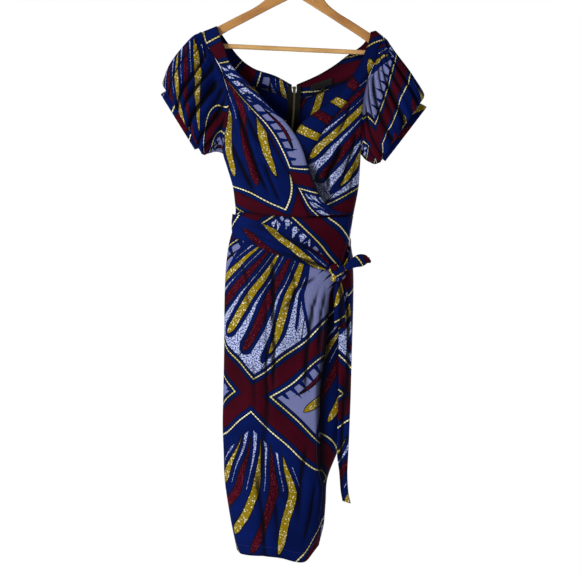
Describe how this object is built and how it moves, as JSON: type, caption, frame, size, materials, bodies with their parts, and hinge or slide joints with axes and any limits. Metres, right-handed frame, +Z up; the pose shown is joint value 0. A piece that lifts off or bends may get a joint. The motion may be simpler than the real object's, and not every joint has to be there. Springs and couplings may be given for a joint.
{
  "type": "wrap dress on a clothes hanger",
  "caption": "Wax print cotton wrap dress with puff sleeves, back zip and a tied side sash, hanging on a wooden hanger with a trouser bar.",
  "frame": {"origin": "highest inner point of the hanger's hook, where it bears on a rail", "axes": "+Z up; +X to the right as the front of the dress is seen; the front faces -Y"},
  "size_m": [0.5531, 0.1221, 1.2912],
  "materials": {
    "wax_print": "printed cotton, matt",
    "zip_tape": "woven tape, matt",
    "zip_metal": "antiqued",
    "label": "woven label, bare",
    "hanger_wood": "clear satin lacquer",
    "hanger_bar_wood": "clear satin lacquer",
    "hook_steel": "plain"
  },
  "bodies": {
    "dress": {"bodice_front_left": "wax_print", "bodice_front_right": "wax_print", "bodice_back_left": "wax_print", "bodice_back_right": "wax_print", "neck_band_left_front": "wax_print", "neck_band_right_front": "wax_print", "neck_band_left_back": "wax_print", "neck_band_right_back": "wax_print", "sleeve_left": "wax_print", "sleeve_right": "wax_print", "sleeve_cuff_left": "wax_print", "sleeve_cuff_right": "wax_print", "skirt_front_over": "wax_print", "skirt_front_under": "wax_print", "skirt_back_left": "wax_print", "skirt_back_right": "wax_print", "sash_front": "wax_print", "sash_side_end": "wax_print", "sash_knot": "wax_print", "sash_loop": "wax_print", "sash_tail_short": "wax_print", "sash_tail_long": "wax_print", "zip_tape_left": "zip_tape", "zip_tape_right": "zip_tape", "zip_chain": "zip_metal", "zip_slider": "zip_metal", "neck_label": "label", "neck_label_tab": "label", "hanger_arms": "hanger_wood", "hanger_bar": "hanger_bar_wood", "hanger_hook": "hook_steel"},
    "zip_pull": {"zip_pull": "zip_metal"}
  },
  "joints": [
    {"name": "zip_pull_hinge", "type": "hinge", "parent": "dress", "child": "zip_pull", "pos_m": [-0.00766, 0.03694, -0.3036], "axis": [1, 0, 0], "range_deg": [0, 160]}
  ]
}
